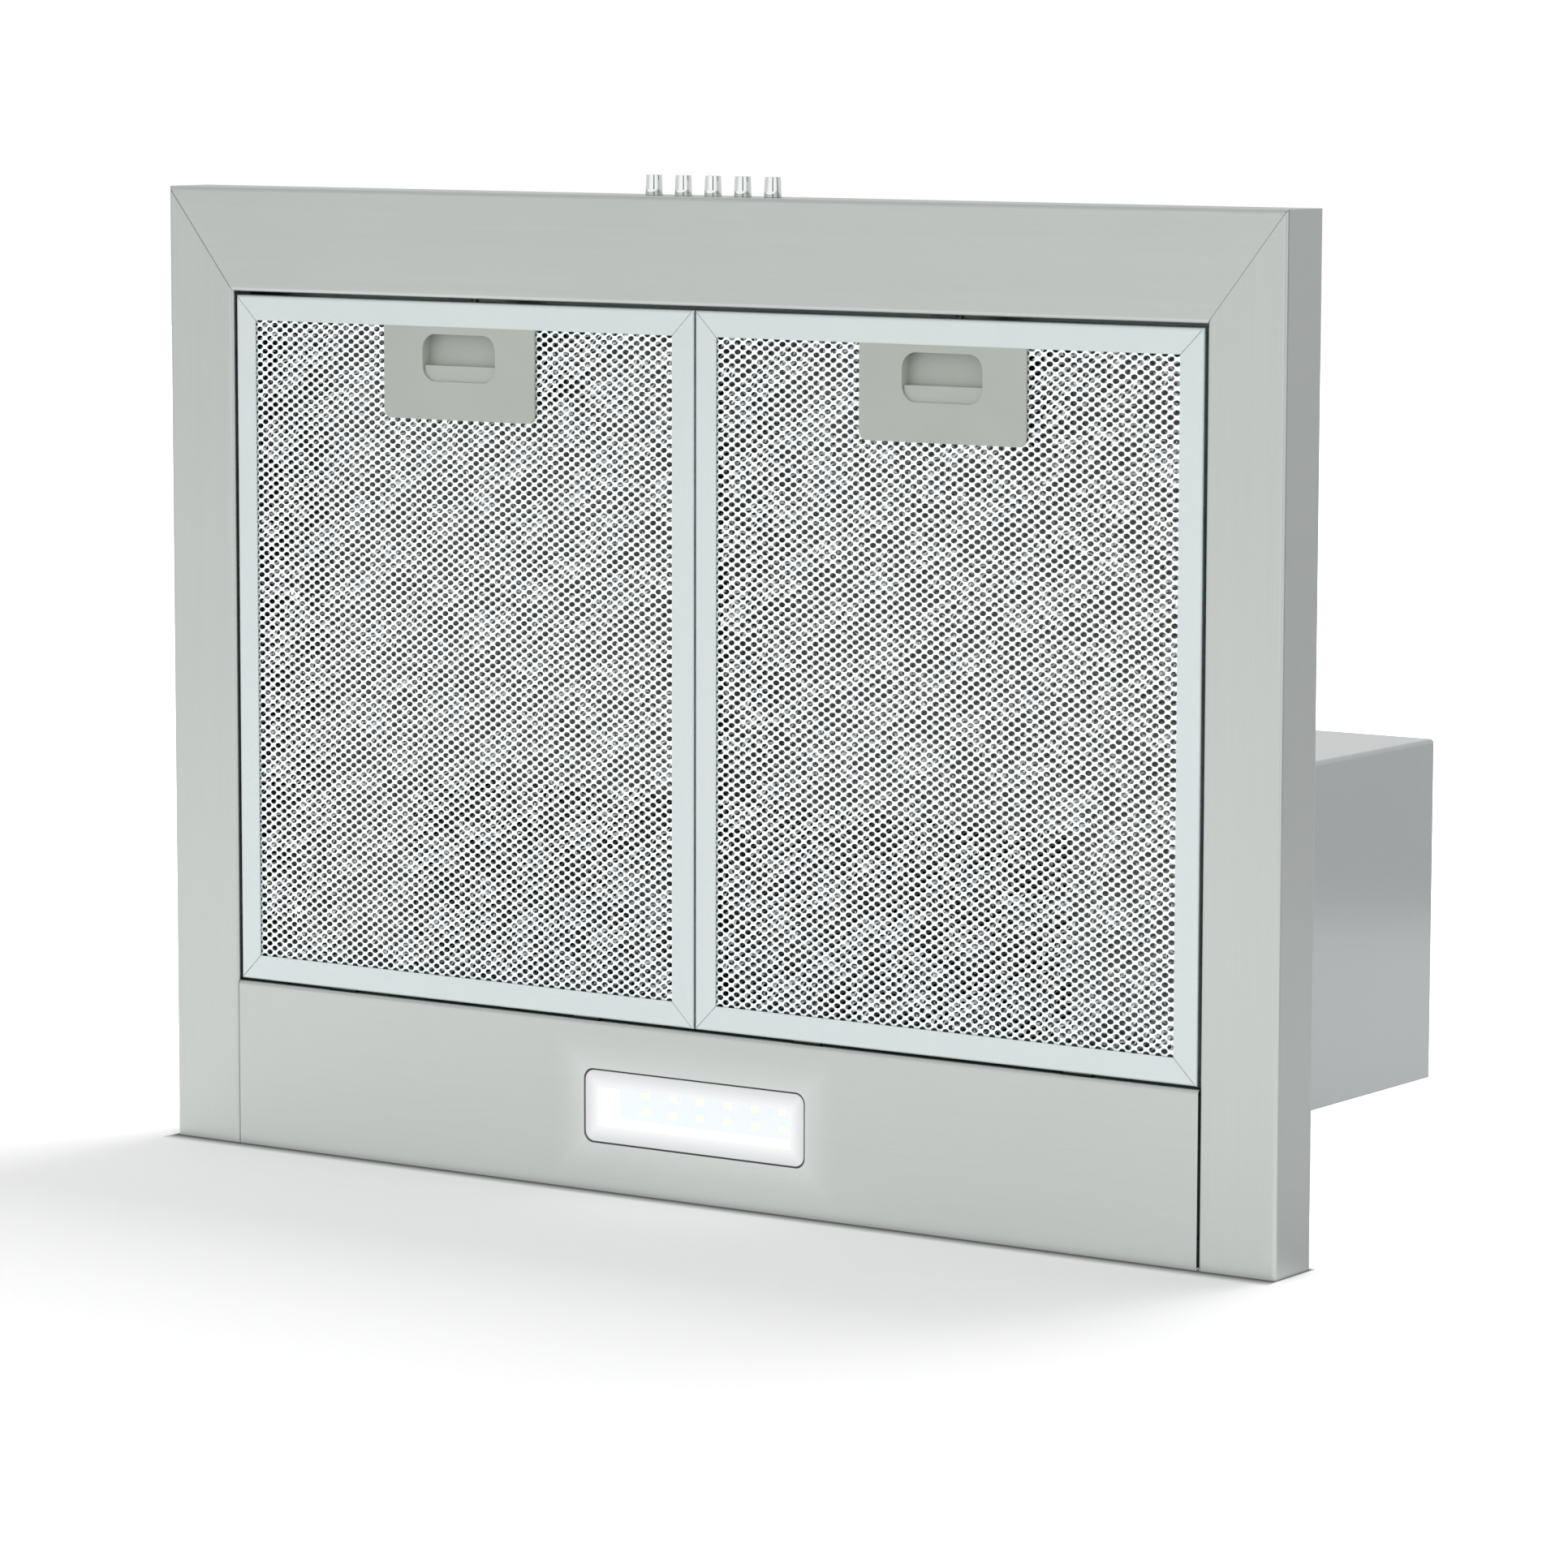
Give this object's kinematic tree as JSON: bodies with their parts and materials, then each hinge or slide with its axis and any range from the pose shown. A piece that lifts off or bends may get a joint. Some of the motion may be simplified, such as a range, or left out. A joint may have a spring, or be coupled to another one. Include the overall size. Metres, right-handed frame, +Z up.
{
  "type": "under cabinet range hood",
  "caption": "Canopy range hood that hangs under a wall cabinet, with drop-down mesh grease filters, push buttons, an LED lamp and a fan tower with a duct collar.",
  "frame": {"origin": "centre of the four cabinet screw holes, on the canopy's top face", "axes": "+Z up to the cabinet, -Y to the front where the buttons are, +X to the cook's right"},
  "size_m": [0.6, 0.457, 0.353],
  "materials": {
    "stainless_steel": "fine brushed",
    "tower_steel": "smooth satin",
    "galvanised_steel": "zinc coated",
    "spring_steel": "plated",
    "motor_laminations": "varnished",
    "aluminium_frame": "satin",
    "aluminium_mesh": "bright",
    "button_chrome": "polished",
    "grey_plastic": "satin moulded",
    "white_plastic": "moulded",
    "black_plastic": "moulded",
    "frosted_plastic": "frosted",
    "clear_plastic": "clear",
    "led_phosphor": "phosphor",
    "circuit_board": "white solder mask",
    "cable_sheath": "smooth sheath"
  },
  "bodies": {
    "hood": {"canopy_front_rim": "stainless_steel", "canopy_left_rim": "stainless_steel", "canopy_right_rim": "stainless_steel", "canopy_rear_rail": "stainless_steel", "canopy_top_panel": "stainless_steel", "lamp_panel": "stainless_steel", "lamp_bezel": "frosted_plastic", "lamp_window": "clear_plastic", "lamp_tray": "white_plastic", "led_board": "circuit_board", "led_chips": "led_phosphor", "led_driver": "white_plastic", "latch_keepers": "spring_steel", "button_springs": "spring_steel", "switch_case": "black_plastic", "switch_bracket": "galvanised_steel", "tower_shell": "tower_steel", "tower_rear_cover": "tower_steel", "tower_top_plate": "tower_steel", "scroll_left": "black_plastic", "scroll_right": "black_plastic", "inlet_rings": "black_plastic", "motor_case": "galvanised_steel", "motor_bearings": "spring_steel", "motor_stator": "motor_laminations", "motor_bracket": "galvanised_steel", "outlet_collar": "black_plastic", "terminal_box": "white_plastic", "terminal_lid": "white_plastic", "terminal_block": "white_plastic", "cable_gland": "black_plastic", "capacitor": "white_plastic", "capacitor_band": "galvanised_steel", "switch_cable": "cable_sheath", "wiring_leads": "cable_sheath", "screws": "spring_steel"},
    "filter_left": {"filter_frame_left": "aluminium_frame", "filter_face_mesh_left": "aluminium_mesh", "filter_core_mesh_left": "aluminium_mesh", "filter_back_mesh_left": "aluminium_mesh", "filter_handle_left": "grey_plastic", "latch_spring_left": "spring_steel"},
    "filter_right": {"filter_frame_right": "aluminium_frame", "filter_face_mesh_right": "aluminium_mesh", "filter_core_mesh_right": "aluminium_mesh", "filter_back_mesh_right": "aluminium_mesh", "filter_handle_right": "grey_plastic", "latch_spring_right": "spring_steel"},
    "latch_left": {"filter_latch_left": "grey_plastic"},
    "latch_right": {"filter_latch_right": "grey_plastic"},
    "button_off": {"button_off": "button_chrome"},
    "button_speed_1": {"button_speed_1": "button_chrome"},
    "button_speed_2": {"button_speed_2": "button_chrome"},
    "button_speed_3": {"button_speed_3": "button_chrome"},
    "button_light": {"button_light": "button_chrome"},
    "fan": {"fan_wheel": "black_plastic", "motor_rotor": "motor_laminations"},
    "damper_front": {"damper_flap_front": "grey_plastic"},
    "damper_rear": {"damper_flap_rear": "grey_plastic"}
  },
  "joints": [
    {"name": "filter_left_tilt", "type": "hinge", "parent": "hood", "child": "filter_left", "pos_m": [-0.1304, 0.106, -0.0275], "axis": [1, 0, 0], "range_deg": [0, 30], "deforming": ["latch_keepers"]},
    {"name": "latch_left_slide", "type": "slide", "parent": "filter_left", "child": "latch_left", "axis": [0, 1, 0], "range_m": [0, 0.0045], "stiffness_N_per_m": 300, "springref_m": -0.002, "deforming": ["latch_spring_left"]},
    {"name": "filter_right_tilt", "type": "hinge", "parent": "hood", "child": "filter_right", "pos_m": [0.1304, 0.106, -0.0275], "axis": [1, 0, 0], "range_deg": [0, 30], "deforming": ["latch_keepers"]},
    {"name": "latch_right_slide", "type": "slide", "parent": "filter_right", "child": "latch_right", "axis": [0, 1, 0], "range_m": [0, 0.0045], "stiffness_N_per_m": 300, "springref_m": -0.002, "deforming": ["latch_spring_right"]},
    {"name": "button_off_press", "type": "slide", "parent": "hood", "child": "button_off", "axis": [0, 1, 0], "range_m": [0, 0.004], "stiffness_N_per_m": 300, "springref_m": -0.002, "deforming": ["button_springs"]},
    {"name": "button_speed_1_press", "type": "slide", "parent": "hood", "child": "button_speed_1", "axis": [0, 1, 0], "range_m": [0, 0.004], "stiffness_N_per_m": 300, "springref_m": -0.002, "deforming": ["button_springs"]},
    {"name": "button_speed_2_press", "type": "slide", "parent": "hood", "child": "button_speed_2", "axis": [0, 1, 0], "range_m": [0, 0.004], "stiffness_N_per_m": 300, "springref_m": -0.002, "deforming": ["button_springs"]},
    {"name": "button_speed_3_press", "type": "slide", "parent": "hood", "child": "button_speed_3", "axis": [0, 1, 0], "range_m": [0, 0.004], "stiffness_N_per_m": 300, "springref_m": -0.002, "deforming": ["button_springs"]},
    {"name": "button_light_press", "type": "slide", "parent": "hood", "child": "button_light", "axis": [0, 1, 0], "range_m": [0, 0.004], "stiffness_N_per_m": 300, "springref_m": -0.002, "deforming": ["button_springs"]},
    {"name": "fan_spin", "type": "hinge", "parent": "hood", "child": "fan", "pos_m": [0, 0.0672, 0.1], "axis": [1, 0, 0], "continuous": true},
    {"name": "damper_front_swing", "type": "hinge", "parent": "hood", "child": "damper_front", "pos_m": [0, 0.0677, 0.2939], "axis": [-1, 0, 0], "range_deg": [0, 80]},
    {"name": "damper_rear_swing", "type": "hinge", "parent": "hood", "child": "damper_rear", "pos_m": [0, 0.0727, 0.2939], "axis": [1, 0, 0], "range_deg": [0, 80]}
  ]
}
